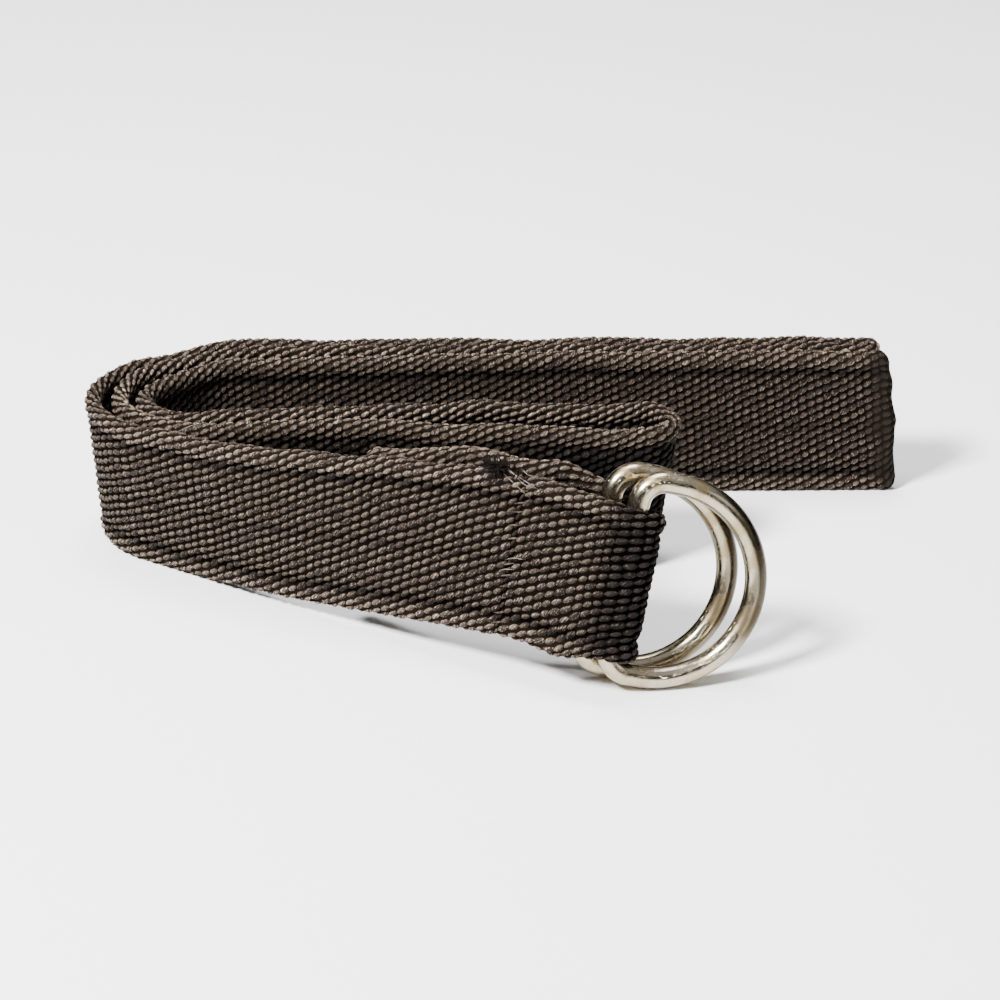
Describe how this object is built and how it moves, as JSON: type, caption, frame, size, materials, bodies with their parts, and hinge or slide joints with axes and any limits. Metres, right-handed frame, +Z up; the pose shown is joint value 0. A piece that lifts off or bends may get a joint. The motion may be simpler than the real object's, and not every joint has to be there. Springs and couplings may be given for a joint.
{
  "type": "canvas d-ring belt",
  "caption": "Folded canvas webbing belt lying on its edge, with a free end and a stitched loop that holds a pair of metal D-rings.",
  "frame": {"origin": "middle of the outline in plan, on the ground", "axes": "+X along the folded belt towards its free end and the rings, +Y to the back, +Z up along the width of the webbing"},
  "size_m": [0.2016, 0.1238, 0.0487],
  "materials": {
    "canvas": "coarse dark brown cotton webbing, matt, with corded edges",
    "front_ring": "polished nickel plating over steel wire, with fine scratches",
    "rear_ring": "polished nickel plating over steel wire, with fine scratches and a slight yellow tarnish"
  },
  "bodies": {
    "strap": {"strap": "canvas"},
    "ring_front": {"d_ring_front": "front_ring"},
    "ring_rear": {"d_ring_rear": "rear_ring"}
  },
  "joints": [
    {"name": "ring_front_swing", "type": "hinge", "parent": "strap", "child": "ring_front", "pos_m": [0.02724, -0.05082, 0.02606], "axis": [0.1987, 0.2555, 0.9462], "range_deg": [-165, 0]},
    {"name": "ring_rear_swing", "type": "hinge", "parent": "strap", "child": "ring_rear", "pos_m": [0.02144, -0.04608, 0.02606], "axis": [0.1987, 0.2555, 0.9462], "range_deg": [0, 85]}
  ]
}
